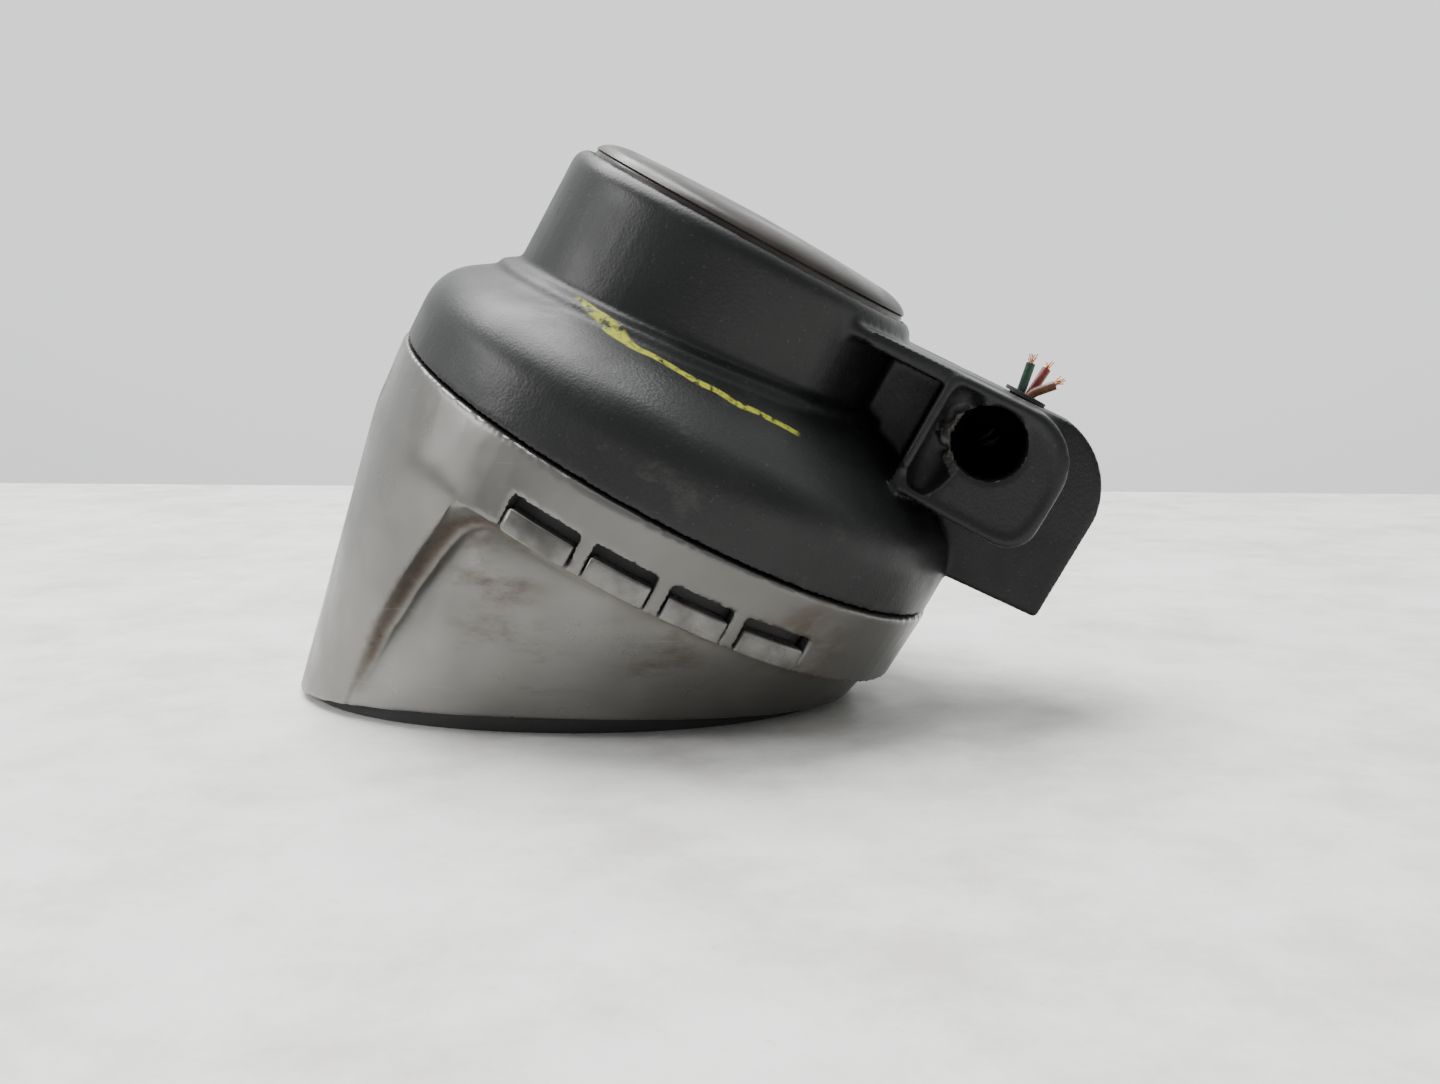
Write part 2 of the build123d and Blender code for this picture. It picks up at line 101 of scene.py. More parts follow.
class PodPlastic(bpy.types.PropertyGroup):
    """The rear housing's grained plastic."""
    black: bpy.props.FloatVectorProperty(
        name="Black", description="Colour of the moulded housing",
        default=(0.0075, 0.0078, 0.0084), subtype="COLOR", size=3, min=0, max=1)
    scuff: bpy.props.FloatVectorProperty(
        name="Scuffs", description="Colour of rubbed plastic",
        default=(0.060, 0.057, 0.053), subtype="COLOR", size=3, min=0, max=1)
    crayon: bpy.props.FloatVectorProperty(
        name="Crayon", description="Colour of the waxy streak on the shoulder",
        default=(0.42, 0.44, 0.03), subtype="COLOR", size=3, min=0, max=1)
    grain_size: bpy.props.FloatProperty(
        name="Grain size", description="Width of one cell of the moulded grain",
        default=0.55 * MM, unit="LENGTH", min=0.1 * MM, max=5 * MM)
    grain_depth: bpy.props.FloatProperty(
        name="Grain depth", description="Depth of the moulded grain",
        default=0.045 * MM, unit="LENGTH", min=0, max=1 * MM)


class PodShape(bpy.types.PropertyGroup):
    """How finely and how softly the shells are moulded."""
    hood_cell: bpy.props.FloatProperty(
        name="Hood cell", description="Mesh size of the hood",
        default=0.5 * MM, unit="LENGTH", min=0.3 * MM, max=2 * MM)
    housing_cell: bpy.props.FloatProperty(
        name="Housing cell", description="Mesh size of the rear housing",
        default=0.55 * MM, unit="LENGTH", min=0.3 * MM, max=2 * MM)
    crease_reach: bpy.props.FloatProperty(
        name="Crease reach", description="How far the scoop's crease is softened",
        default=7 * MM, unit="LENGTH", min=1 * MM, max=20 * MM)


class PodCamera(bpy.types.PropertyGroup):
    """The camera's place."""
    azimuth: bpy.props.FloatProperty(
        name="Azimuth", description="Turn round the pod from straight in front of the keys",
        default=radians(9.24), subtype="ANGLE", unit="ROTATION")
    elevation: bpy.props.FloatProperty(
        name="Elevation", description="Height above the horizon",
        default=radians(8.0), subtype="ANGLE", unit="ROTATION")
    roll: bpy.props.FloatProperty(
        name="Roll", description="Turn about the line of sight",
        default=radians(-0.52), subtype="ANGLE", unit="ROTATION")
    distance: bpy.props.FloatProperty(
        name="Distance", description="From the aim point to the camera",
        default=285.88 * MM, unit="LENGTH", min=0.05, max=5)
    aim_height: bpy.props.FloatProperty(
        name="Aim height", description="Height of the aim point over the table",
        default=28.97 * MM, unit="LENGTH")
    aim_side: bpy.props.FloatProperty(
        name="Aim side", description="Aim point's distance from the middle, towards the arm",
        default=6.88 * MM, unit="LENGTH")


# Finishes

class Finish:
    """A procedural material, built node by node on the piece's own coordinates."""

    def __init__(self, name, colour, roughness, metallic=0.0, specular=0.5):
        self.material = bpy.data.materials.new(name)
        self.material.use_nodes = True
        self.tree = self.material.node_tree
        self.shader = self.tree.nodes["Principled BSDF"]
        self.set("Base Color", (*colour, 1))
        self.set("Roughness", roughness)
        self.set("Metallic", metallic)
        self.set("Specular IOR Level", specular)
        self.place = self.node("ShaderNodeTexCoord").outputs["Object"]

    def node(self, kind, **settings):
        made = self.tree.nodes.new(kind)
        for key, value in settings.items():
            setattr(made, key, value)
        return made

    def set(self, socket, value):
        self.shader.inputs[socket].default_value = value

    def link(self, output, socket):
        self.tree.links.new(output, socket)

    def mapped(self, scale=(1, 1, 1), turn=(0, 0, 0), move=(0, 0, 0)):
        mapping = self.node("ShaderNodeMapping")
        mapping.inputs["Scale"].default_value = scale
        mapping.inputs["Rotation"].default_value = turn
        mapping.inputs["Location"].default_value = move
        self.link(self.place, mapping.inputs["Vector"])
        return mapping.outputs["Vector"]

    def noise(self, scale, detail=4.0, rough=0.5, vector=None, distortion=0.0):
        noise = self.node("ShaderNodeTexNoise")
        noise.inputs["Scale"].default_value = scale
        noise.inputs["Detail"].default_value = detail
        noise.inputs["Roughness"].default_value = rough
        noise.inputs["Distortion"].default_value = distortion
        self.link(vector or self.place, noise.inputs["Vector"])
        return noise.outputs["Fac"]

    def cells(self, scale, feature="F1", vector=None, randomness=1.0):
        voronoi = self.node("ShaderNodeTexVoronoi", feature=feature)
        voronoi.inputs["Scale"].default_value = scale
        voronoi.inputs["Randomness"].default_value = randomness
        self.link(vector or self.place, voronoi.inputs["Vector"])
        return voronoi.outputs["Distance"]

    def span(self, value, low, high, bottom=0.0, top=1.0, smooth=True):
        """Maps low..high of a value onto bottom..top."""
        ranged = self.node("ShaderNodeMapRange")
        ranged.interpolation_type = "SMOOTHSTEP" if smooth else "LINEAR"
        ranged.inputs["From Min"].default_value = low
        ranged.inputs["From Max"].default_value = high
        ranged.inputs["To Min"].default_value = bottom
        ranged.inputs["To Max"].default_value = top
        self.link(value, ranged.inputs["Value"])
        return ranged.outputs["Result"]

    def sum(self, first, second, operation="ADD"):
        maths = self.node("ShaderNodeMath", operation=operation)
        for value, socket in zip((first, second), maths.inputs):
            if isinstance(value, (int, float)):
                socket.default_value = value
            else:
                self.link(value, socket)
        return maths.outputs["Value"]

    def near(self, point, radius, core=0.0):
        """One at a point of the piece, fading to nothing at the radius."""
        away = self.node("ShaderNodeVectorMath", operation="DISTANCE")
        self.link(self.place, away.inputs[0])
        away.inputs[1].default_value = point
        return self.span(away.outputs["Value"], radius, core * radius)

    def along(self, direction):
        """How far a point of the piece lies along a direction."""
        dot = self.node("ShaderNodeVectorMath", operation="DOT_PRODUCT")
        self.link(self.place, dot.inputs[0])
        dot.inputs[1].default_value = direction
        return dot.outputs["Value"]

    def blend(self, amount, first, second):
        mix = self.node("ShaderNodeMix", data_type="RGBA")
        self.link(amount, mix.inputs["Factor"])
        colours = [socket for socket in mix.inputs if socket.type == "RGBA"]
        for value, socket in zip((first, second), colours):
            if isinstance(value, bpy.types.NodeSocket):
                self.link(value, socket)
            else:
                socket.default_value = (*value, 1)
        return next(socket for socket in mix.outputs if socket.type == "RGBA")

    def colour(self, output):
        self.link(output, self.shader.inputs["Base Color"])

    def roughness(self, output):
        self.link(output, self.shader.inputs["Roughness"])

    def bump(self, height, distance, strength=1.0, under=None):
        bump = self.node("ShaderNodeBump")
        bump.inputs["Strength"].default_value = strength
        bump.inputs["Distance"].default_value = distance
        self.link(height, bump.inputs["Height"])
        if under:
            self.link(under, bump.inputs["Normal"])
        self.link(bump.outputs["Normal"], self.shader.inputs["Normal"])
        return bump.outputs["Normal"]


def dial_point(u, v, w):
    """A point of the row frame, from millimetres in the dial frame."""
    return SEAM_CENTRE + (DIAL_U * u + DIAL_V * v + DIAL_W * w) * MM


def dial_heights(u, w):
    """Heights over the table, in millimetres, of places in the dial frame."""
    return SEAM_CENTRE.z / MM + u * DIAL_U.z + w * DIAL_W.z


def silver_paint():
    """Satin metallic paint with slow tone changes, smudges, painted shade in the crease and under the
    ledge, and hairlines.
    """
    paint = bpy.context.scene.pod_paint
    made = Finish("silver_paint", paint.silver, paint.gloss_roughness, metallic=PAINT_METAL)
    tone = made.span(made.noise(26, detail=3), 0.35, 0.68)
    base = made.blend(made.sum(tone, 0.6, "MULTIPLY"), paint.silver, paint.shade)
    level = made.mapped(scale=(0.6, 1.0, 1.7), turn=(0, -0.25, 0))
    streaks = made.noise(75, detail=6, rough=0.66, vector=level)
    smudges = made.span(streaks, 0.47, 0.66)
    patches = [
        (dial_point(-13, -46, -21), 15 * MM), (dial_point(-3, -44, -35), 17 * MM),
        (dial_point(20, -44, -22), 15 * MM), (dial_point(38, -38, -9), 15 * MM),
        (dial_point(-48, -20, -8), 13 * MM),
    ]
    reach = made.near(*patches[0], core=0.1)
    for point, radius in patches[1:]:
        reach = made.sum(reach, made.near(point, radius, core=0.1), "MAXIMUM")
    dirty = made.sum(smudges, reach, "MULTIPLY")
    base = made.blend(made.sum(dirty, 0.75, "MULTIPLY"), base, paint.dirt_and_shade)
    # Painted shade: the crease mark stored on the mesh, broken up by noise, darkens the paint towards the
    # smudge brown and makes it rougher.
    crease_shade_mark = made.node("ShaderNodeAttribute", attribute_name=CREASE_SHADE)
    shade_breakup = made.span(made.noise(300, detail=5, rough=0.65), 0.25, 0.6, 0.55, 1.0)
    grime_and_shade = made.sum(crease_shade_mark.outputs["Fac"], shade_breakup, "MULTIPLY")
    base = made.blend(made.sum(grime_and_shade, 0.8, "MULTIPLY"), base, paint.dirt_and_shade)
    drawn_out = made.mapped(scale=(0.2, 0.5, 5.0), turn=(0, 0.6, 0))
    hair = made.noise(240, detail=2, vector=drawn_out)
    scratch = made.span(hair, 0.68, 0.76)
    base = made.blend(made.sum(scratch, 0.12, "MULTIPLY"), base, paint.rubbed)
    made.colour(base)
    worn = made.span(made.noise(120, detail=4), 0.3, 0.75, 0.27, 0.38)
    made.roughness(made.sum(worn, made.sum(made.sum(dirty, grime_and_shade), 0.25, "MULTIPLY")))
    flakes = made.noise(3600, detail=1)
    made.bump(flakes, 0.003 * MM, 0.5)
    return made.material


def silver_keys():
    """The keys' paint, a little grimy."""
    paint = bpy.context.scene.pod_paint
    made = Finish("silver_keys", paint.silver, 0.32, metallic=PAINT_METAL)
    tone = made.span(made.noise(200, detail=4), 0.35, 0.7)
    base = made.blend(tone, paint.silver, paint.shade)
    # Random grimy patches on the keys only; no shade is painted here.
    grime_and_shade = made.span(made.noise(480, detail=5, rough=0.65), 0.56, 0.76)
    made.colour(made.blend(made.sum(grime_and_shade, 0.4, "MULTIPLY"), base, paint.dirt_and_shade))
    made.roughness(made.span(made.noise(300, detail=3), 0.3, 0.7, 0.26, 0.40))
    made.bump(made.noise(3600, detail=1), 0.003 * MM, 0.5)
    return made.material


def black_grain():
    """Moulded leather-like grain with dust, rubbed places, an uneven sheen and a crayon streak."""
    plastic = bpy.context.scene.pod_plastic
    made = Finish("black_grain", plastic.black, 0.42, specular=0.3)
    slow = made.span(made.noise(34, detail=4, rough=0.6), 0.42, 0.72)
    rubbed = made.noise(150, detail=6, rough=0.7, vector=made.mapped(scale=(0.6, 1.4, 1.0)))
    marks = made.sum(made.span(rubbed, 0.55, 0.74), slow, "MULTIPLY")
    shoulder = made.near(dial_point(-26, -37, 20), 15 * MM, core=0.1)
    marks = made.sum(marks, made.sum(made.span(rubbed, 0.46, 0.66), shoulder, "MULTIPLY"), "MAXIMUM")
    base = made.blend(made.sum(marks, 0.5, "MULTIPLY"), plastic.black, plastic.scuff)
    dust = made.span(made.noise(1300, detail=3), 0.64, 0.76)
    base = made.blend(made.sum(dust, 0.10, "MULTIPLY"), base, (0.20, 0.19, 0.18))
    streak = crayon_streak(made)
    made.colour(made.blend(streak, base, plastic.crayon))
    sheen = made.span(made.noise(70, detail=4), 0.3, 0.75, 0.34, 0.50)
    made.roughness(made.sum(made.sum(sheen, made.sum(marks, 0.12, "MULTIPLY")),
                            made.sum(streak, 0.3, "MULTIPLY")))
    pitch = 1 / plastic.grain_size
    grain = made.cells(pitch, "SMOOTH_F1", vector=made.mapped(scale=(1.0, 1.25, 0.9)))
    pores = made.noise(pitch * 1.7, detail=2)
    made.bump(made.sum(grain, made.sum(pores, 0.5, "MULTIPLY")), plastic.grain_depth, 0.7)
    return made.material


def crayon_streak(made):
    """A waxy smear along part of the shoulder, broken up by the grain."""
    u_at, v_at = made.along(DIAL_U), made.along(DIAL_V)
    shift = SEAM_CENTRE.dot(DIAL_U)
    u_at = made.sum(u_at, shift, "SUBTRACT")
    away = made.sum(made.sum(u_at, 2, "POWER"), made.sum(v_at, 2, "POWER"))
    away = made.sum(away, 0.5, "POWER")
    wobble = made.sum(made.sum(made.noise(70, detail=2), 0.5, "SUBTRACT"), 4 * MM, "MULTIPLY")
    off = made.sum(made.sum(away, 41.0 * MM, "SUBTRACT"), wobble, "SUBTRACT")
    off = made.sum(off, 0, "ABSOLUTE")
    band = made.span(off, 0.8 * MM, 0.45 * MM)
    start = made.span(u_at, -24 * MM, -22 * MM)
    end = made.span(u_at, 21 * MM, 19 * MM)
    near_side = made.span(v_at, -20 * MM, -24 * MM)
    seam_at = SEAM_CENTRE.dot(DIAL_W)
    outside = made.span(made.along(DIAL_W), seam_at + 14 * MM, seam_at + 15 * MM)
    band = made.sum(made.sum(band, start, "MULTIPLY"), made.sum(end, near_side, "MULTIPLY"), "MULTIPLY")
    broken = made.span(made.noise(620, detail=4, rough=0.7), 0.36, 0.56)
    return made.sum(made.sum(band, outside, "MULTIPLY"), made.sum(broken, 0.9, "MULTIPLY"), "MULTIPLY")


def moulded(name, colour, light, roughness, size=900, depth=0.02, specular=0.5, metallic=0.0,
            patch=60):
    """Plain moulded or cast surface: slow tone change, fine texture and worn sheen."""
    made = Finish(name, colour, roughness, metallic=metallic, specular=specular)
    tone = made.span(made.noise(patch, detail=4, rough=0.6), 0.4, 0.72)
    made.colour(made.blend(tone, colour, light))
    made.roughness(made.span(made.noise(patch * 3, detail=3), 0.3, 0.75,
                             max(roughness - 0.07, 0.02), min(roughness + 0.09, 1.0)))
    made.bump(made.noise(size, detail=3), depth * MM, 0.7)
    return made.material


def black_liner():
    """The liner's dull black, shared by every piece that shows bare plastic."""
    known = bpy.data.materials.get("black_liner")
    return known or moulded("black_liner", (0.012, 0.012, 0.012), (0.03, 0.03, 0.03), 0.55)


# Bench tools

def put_down():
    """Leaves edit mode and deselects everything."""
    if bpy.context.mode != "OBJECT":
        bpy.ops.object.mode_set(mode="OBJECT")
    bpy.ops.object.select_all(action="DESELECT")


def pick_up(piece):
    put_down()
    piece.select_set(True)
    bpy.context.view_layer.objects.active = piece


def mould_copy(node, name):
    """A working copy of a CAD node's shape, with its loose triangles joined."""
    mesh = frame["nodes"][node].data.copy()
    mesh.name = name
    mesh.materials.clear()
    piece = bpy.data.objects.new(name, mesh)
    bpy.context.scene.collection.objects.link(piece)
    pick_up(piece)
    if mesh.has_custom_normals:
        bpy.ops.mesh.customdata_custom_splitnormals_clear()
    bpy.ops.object.mode_set(mode="EDIT")
    bpy.ops.mesh.select_all(action="SELECT")
    bpy.ops.mesh.remove_doubles(threshold=0.002 * MM)
    bpy.ops.object.mode_set(mode="OBJECT")
    return piece


def apply_all(piece):
    pick_up(piece)
    for modifier in list(piece.modifiers):
        bpy.ops.object.modifier_apply(modifier=modifier.name)


def recast(piece, cell, smoothing):
    """Even mesh with softly rounded edges, as a moulding has."""
    remesh = piece.modifiers.new("even", "REMESH")
    remesh.mode = "VOXEL"
    remesh.voxel_size = cell
    if smoothing:
        soften = piece.modifiers.new("soften", "SMOOTH")
        soften.factor = 0.5
        soften.iterations = smoothing
    apply_all(piece)


def soften_near(piece, weights, iterations):
    """Smooths a piece only where its weights say."""
    group = piece.vertex_groups.new(name="soft")
    steps = np.round(weights * 10).astype(int)
    for step in range(1, 11):
        chosen = np.flatnonzero(steps == step)
        if len(chosen):
            group.add(chosen.tolist(), step / 10, "REPLACE")
    soften = piece.modifiers.new("soften", "SMOOTH")
    soften.factor = 0.5
    soften.iterations = iterations
    soften.vertex_group = "soft"
    apply_all(piece)
    piece.vertex_groups.clear()


def ramp(values, zero, one):
    """Nought at one value, one at the other, and straight between."""
    return np.clip((values - zero) / (one - zero), 0, 1)


def crease_at(w):
    """The crease's place along u, at each height w."""
    line = np.array(CREASE)[::-1]
    return np.interp(w, line[:, 1], line[:, 0])


def mark_faces(piece, chosen, index):
    """Gives faces whose corners are all chosen a material slot."""
    corners = np.zeros(len(piece.data.loops), int)
    piece.data.loops.foreach_get("vertex_index", corners)
    for face in piece.data.polygons:
        if chosen[corners[face.loop_start:face.loop_start + face.loop_total]].all():
            face.material_index = index


def push_in(piece, depths):
    """Moves each vertex towards the dial axis by its depth, in millimetres."""
    places = dial_coords(piece)
    away = np.hypot(places[:, 0], places[:, 1])
    places[:, :2] *= ((away - depths) / np.maximum(away, 1e-6))[:, None]
    turned = np.array(DIAL_PLACE)
    rows = places * MM @ turned[:3, :3].T + turned[:3, 3]
    piece.data.vertices.foreach_set("co", rows.ravel())
    piece.data.update()


def fuse(piece, *parts):
    """Joins parts into a piece, to be cast as one."""
    pick_up(piece)
    for part in parts:
        part.select_set(True)
    bpy.ops.object.join()


def carve(piece, cutter):
    """Takes a cutter's shape out of a piece."""
    cut = piece.modifiers.new("cut", "BOOLEAN")
    cut.operation = "DIFFERENCE"
    cut.solver = "EXACT"
    cut.object = cutter
    apply_all(piece)
    bpy.data.objects.remove(cutter)


def settle(piece):
    """Turns a shape made in the dial frame into its place in the row frame."""
    pick_up(piece)
    piece.matrix_world = DIAL_PLACE @ piece.matrix_world
    bpy.ops.object.transform_apply(location=True, rotation=True, scale=True)


def face_outwards(piece):
    pick_up(piece)
    bpy.ops.object.mode_set(mode="EDIT")
    bpy.ops.mesh.select_all(action="SELECT")
    bpy.ops.mesh.remove_doubles(threshold=0.001 * MM)
    bpy.ops.mesh.normals_make_consistent(inside=False)
    bpy.ops.object.mode_set(mode="OBJECT")


def lathe(name, profile, centre_u=0.0, steps=128):
    """A closed round shape about the dial axis, extruded ring by ring through (radius, w) pairs."""
    put_down()
    radius, height = profile[0]
    bpy.ops.mesh.primitive_circle_add(
        vertices=steps, radius=radius * MM, fill_type="NGON", location=(centre_u * MM, 0, height * MM))
    piece = bpy.context.active_object
    piece.name = name
    bpy.ops.object.transform_apply(location=True, rotation=True, scale=True)
    bpy.ops.object.mode_set(mode="EDIT")
    bpy.ops.mesh.select_all(action="SELECT")
    for wide, high in profile[1:]:
        bpy.ops.mesh.extrude_region()
        scale = wide / radius
        bpy.ops.transform.resize(value=(scale, scale, 1), center_override=(centre_u * MM, 0, height * MM))
        bpy.ops.transform.translate(value=(0, 0, (high - height) * MM))
        radius, height = wide, high
    bpy.ops.object.mode_set(mode="OBJECT")
    face_outwards(piece)
    return piece


def bevelled(piece, width, segments=3, angle=radians(40)):
    edge = piece.modifiers.new("edge", "BEVEL")
    edge.width = width * MM
    edge.segments = segments
    edge.limit_method = "ANGLE"
    edge.angle_limit = angle
    apply_all(piece)


def turned_block(inner, outer, low, high, start, end, steps=10):
    """A block swept round the dial axis between two angles, from a flat blank."""
    put_down()
    bpy.ops.mesh.primitive_plane_add(size=1)
    block = bpy.context.active_object
    block.scale = ((outer - inner) * MM, (high - low) * MM, 1)
    bpy.ops.object.transform_apply(location=True, rotation=True, scale=True)
    block.rotation_euler = (pi / 2, 0, 0)
    block.location = ((inner + outer) / 2 * MM, 0, (low + high) / 2 * MM)
    bpy.ops.object.transform_apply(location=True, rotation=True, scale=True)
    block.rotation_euler = (0, 0, radians(end))
    bpy.ops.object.transform_apply(location=True, rotation=True, scale=True)
    bpy.ops.object.mode_set(mode="EDIT")
    bpy.ops.mesh.select_all(action="SELECT")
    bpy.ops.mesh.spin(steps=steps, angle=radians(end - start), center=(0, 0, 0), axis=(0, 0, 1))
    bpy.ops.object.mode_set(mode="OBJECT")
    face_outwards(block)
    return block


def tube_along(name, points, radius):
    """A round bead through points of the dial frame, as a mesh."""
    put_down()
    bpy.ops.curve.primitive_nurbs_path_add()
    path = bpy.context.active_object
    path.name = name
    path.data.splines.clear()
    spline = path.data.splines.new("NURBS")
    spline.points.add(len(points) - 1)
    for knot, (u, v, w) in zip(spline.points, points):
        knot.co = (u * MM, v * MM, w * MM, 1)
    spline.order_u = 3
    spline.use_endpoint_u = True
    path.data.bevel_depth = radius * MM
    path.data.bevel_resolution = 4
    path.data.use_fill_caps = True
    pick_up(path)
    bpy.ops.object.convert(target="MESH")
    return bpy.context.active_object


def thin_out(piece, faces):
    """Fewer triangles, keeping the shape."""
    count = sum(len(p.vertices) - 2 for p in piece.data.polygons)
    if count > faces:
        fewer = piece.modifiers.new("fewer", "DECIMATE")
        fewer.ratio = faces / count
        apply_all(piece)


def dial_coords(piece):
    """Every vertex of a piece, in millimetres in the dial frame."""
    flat = np.zeros(len(piece.data.vertices) * 3)
    piece.data.vertices.foreach_get("co", flat)
    turned = np.array(INTO_DIAL)
    return (flat.reshape(-1, 3) @ turned[:3, :3].T + turned[:3, 3]) / MM


def shade(piece, angle=radians(35)):
    pick_up(piece)
    bpy.ops.object.shade_smooth_by_angle(angle=angle)


def hand_over(piece, body, material, nodes=()):
    """Gives a piece its finish, its body and the CAD nodes it stands for."""
    piece.data.materials.clear()
    piece.data.materials.append(material)
    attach(piece, body)
    if nodes:
        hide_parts(*nodes)


def refinish(material, *nodes):
    """Gives carried-over CAD nodes a finish."""
    for node in nodes:
        slots = frame["nodes"][node].data.materials
        slots.clear()
        slots.append(material)


# Pieces

class POD_OT_hood(bpy.types.Operator):
    """Adds the silver hood with its soft scoop"""
    bl_idname = "pod.hood"
    bl_label = "Hood"

    def execute(self, context):
        shape = context.scene.pod_shape
        hood = mould_copy("bezel_hood", "hood_shell")
        recast(hood, shape.hood_cell, 1)
        soften_near(hood, ramp(dial_coords(hood)[:, 2], -1.3, -0.8), 12)
        self.round_arch(hood)
        self.press_scoop(hood, shape)
        thin_out(hood, HOOD_FACES)
        self.paint_crease_shade(hood)
        shade(hood)
        hand_over(hood, CASE, silver_paint(), ["bezel_hood"])
        self.blacken_windows(hood)
        return {"FINISHED"}

    def round_arch(self, hood):
        """Fills the scoop's sharp top corner, so that crease and ledge meet in an arch."""
        u, v, w = dial_coords(hood).T
        away, inside, under_step, into = self.scoop_place(u, w)
        corner = (away < ARCH) & (under_step < ARCH + 1) & (under_step > -0.3) & (into < 0.8)
        flush = np.interp(w, [-24, -20, -18, -16, -14], [51.2, 52.7, 53.3, 53.8, 54.3])
        radius = np.hypot(u, v)
        outer_skin = radius > 49.3 + (w + 14) * 0.26
        gap = np.where(corner & inside & outer_skin, np.maximum(flush - radius, 0), 0)
        push_in(hood, -gap * ramp(into, 0.8, -0.8) * ramp(np.abs(v), 20, 30))
        u, v, w = dial_coords(hood).T
        away, inside, under_step, into = self.scoop_place(u, w)
        near_arch = (away < ARCH + 3) & (under_step < ARCH + 3) & (under_step > -0.8)
        edge = np.clip(1.3 - np.abs(into) / 2.5, 0, 1) * near_arch
        soften_near(hood, edge * ramp(np.abs(v), 20, 30), 30)

    def press_scoop(self, hood, shape):
        """Presses a soft valley along the crease and under the keys, then softens the crease."""
        u, v, w = dial_coords(hood).T
        depth_in = np.maximum(self.scoop_place(u, w)[3], 0)
        outward = ramp(self.outwardness(hood, u, v), -0.25, 0.15)
        flank = ramp(np.abs(v), 12, 26) * ramp(u, 45, 27)
        fade = np.exp(-np.maximum(depth_in - 1.2, 0) / 4.5)
        depths = 2.4 * ramp(depth_in, 0, 1.2) * fade * flank * ramp(dial_heights(u, w), 5, 21)
        push_in(hood, outward * depths + (1 - outward) * np.maximum(depths - 0.9, 0))
        u, v, w = dial_coords(hood).T
        away = self.from_crease(u, w)[0]
        weights = np.clip(1.2 - away / (shape.crease_reach / MM), 0, 1)
        weights *= ramp(w, STEP_W - 0.6, STEP_W - 2.6) * ramp(dial_heights(u, w), 5, 11)
        soften_near(hood, weights * ramp(np.abs(v), 6, 16), 22)
        foot = np.clip(1.6 - np.abs(STEP_W - w) / 6, 0, 1) * ramp(crease_at(w) - u, 0, 5)
        soften_near(hood, foot, 150)
        u, v, w = dial_coords(hood).T
        hollow = np.clip(1 - np.abs(STEP_W - 1.6 - w) / 1.8, 0, 1) * ramp(u, -18, -14)
        soften_near(hood, hollow * ramp(np.abs(v), 6, 16), 14)

    def paint_crease_shade(self, hood):
        """Marks where shade is painted: along the crease and under the ledge."""
        u, v, w = dial_coords(hood).T
        into = self.scoop_place(u, w)[3]
        side = ramp(np.abs(v), 8, 16) * ramp(dial_heights(u, w), 4, 12)
        # Painted shade, strongest along the crease and a little weaker under the key row.
        marked = np.exp(-(((into - 1.2) / 1.3) ** 2)) * (1 - 0.35 * ramp(u, -18, -12)) * side
        layer = hood.data.attributes.new(CREASE_SHADE, "FLOAT", "POINT")
        layer.data.foreach_set("value", marked.astype(np.float32))

    def from_crease(self, u, w):
        """Distance from the crease's line, and whether a place lies on its scooped side."""
        away = np.full(len(u), 99.0)
        for (u0, w0), (u1, w1) in zip(CREASE, CREASE[1:]):
            du, dw = u1 - u0, w1 - w0
            t = np.clip(((u - u0) * du + (w - w0) * dw) / (du * du + dw * dw), 0, 1)
            away = np.minimum(away, np.hypot(u - u0 - t * du, w - w0 - t * dw))
        return away, u > crease_at(w)

    def scoop_place(self, u, w):
        """Distance from the crease, whether past it, depth below the ledge, depth into the scoop."""
        away, inside = self.from_crease(u, w)
        across = np.where(inside, away, -away)
        below = STEP_W - w
        corner = (across < ARCH) & (below < ARCH)
        into = np.where(corner, ARCH - np.hypot(ARCH - across, ARCH - below), np.minimum(across, below))
        return away, inside, below, into

    def outwardness(self, hood, u, v):
        """How much each vertex's surface faces away from the dial axis."""
        normals = np.zeros(len(u) * 3, np.float32)
        hood.data.vertex_normals.foreach_get("vector", normals)
        turned = normals.reshape(-1, 3) @ np.array(INTO_DIAL)[:3, :3].T
        return (turned[:, 0] * u + turned[:, 1] * v) / np.maximum(np.hypot(u, v), 1e-6)

    def blacken_windows(self, hood):
        """The key windows' inner walls are bare dark plastic."""
        hood.data.materials.append(black_liner())
        u, v, w = dial_coords(hood).T
        radius, angle = np.hypot(u, v), np.degrees(np.arctan2(v, u))
        inner = (radius < 54.05) & (radius > 46) & (w < -6.6) & (w > -14)
        mark_faces(hood, inner & (angle > -106) & (angle < -43), 1)


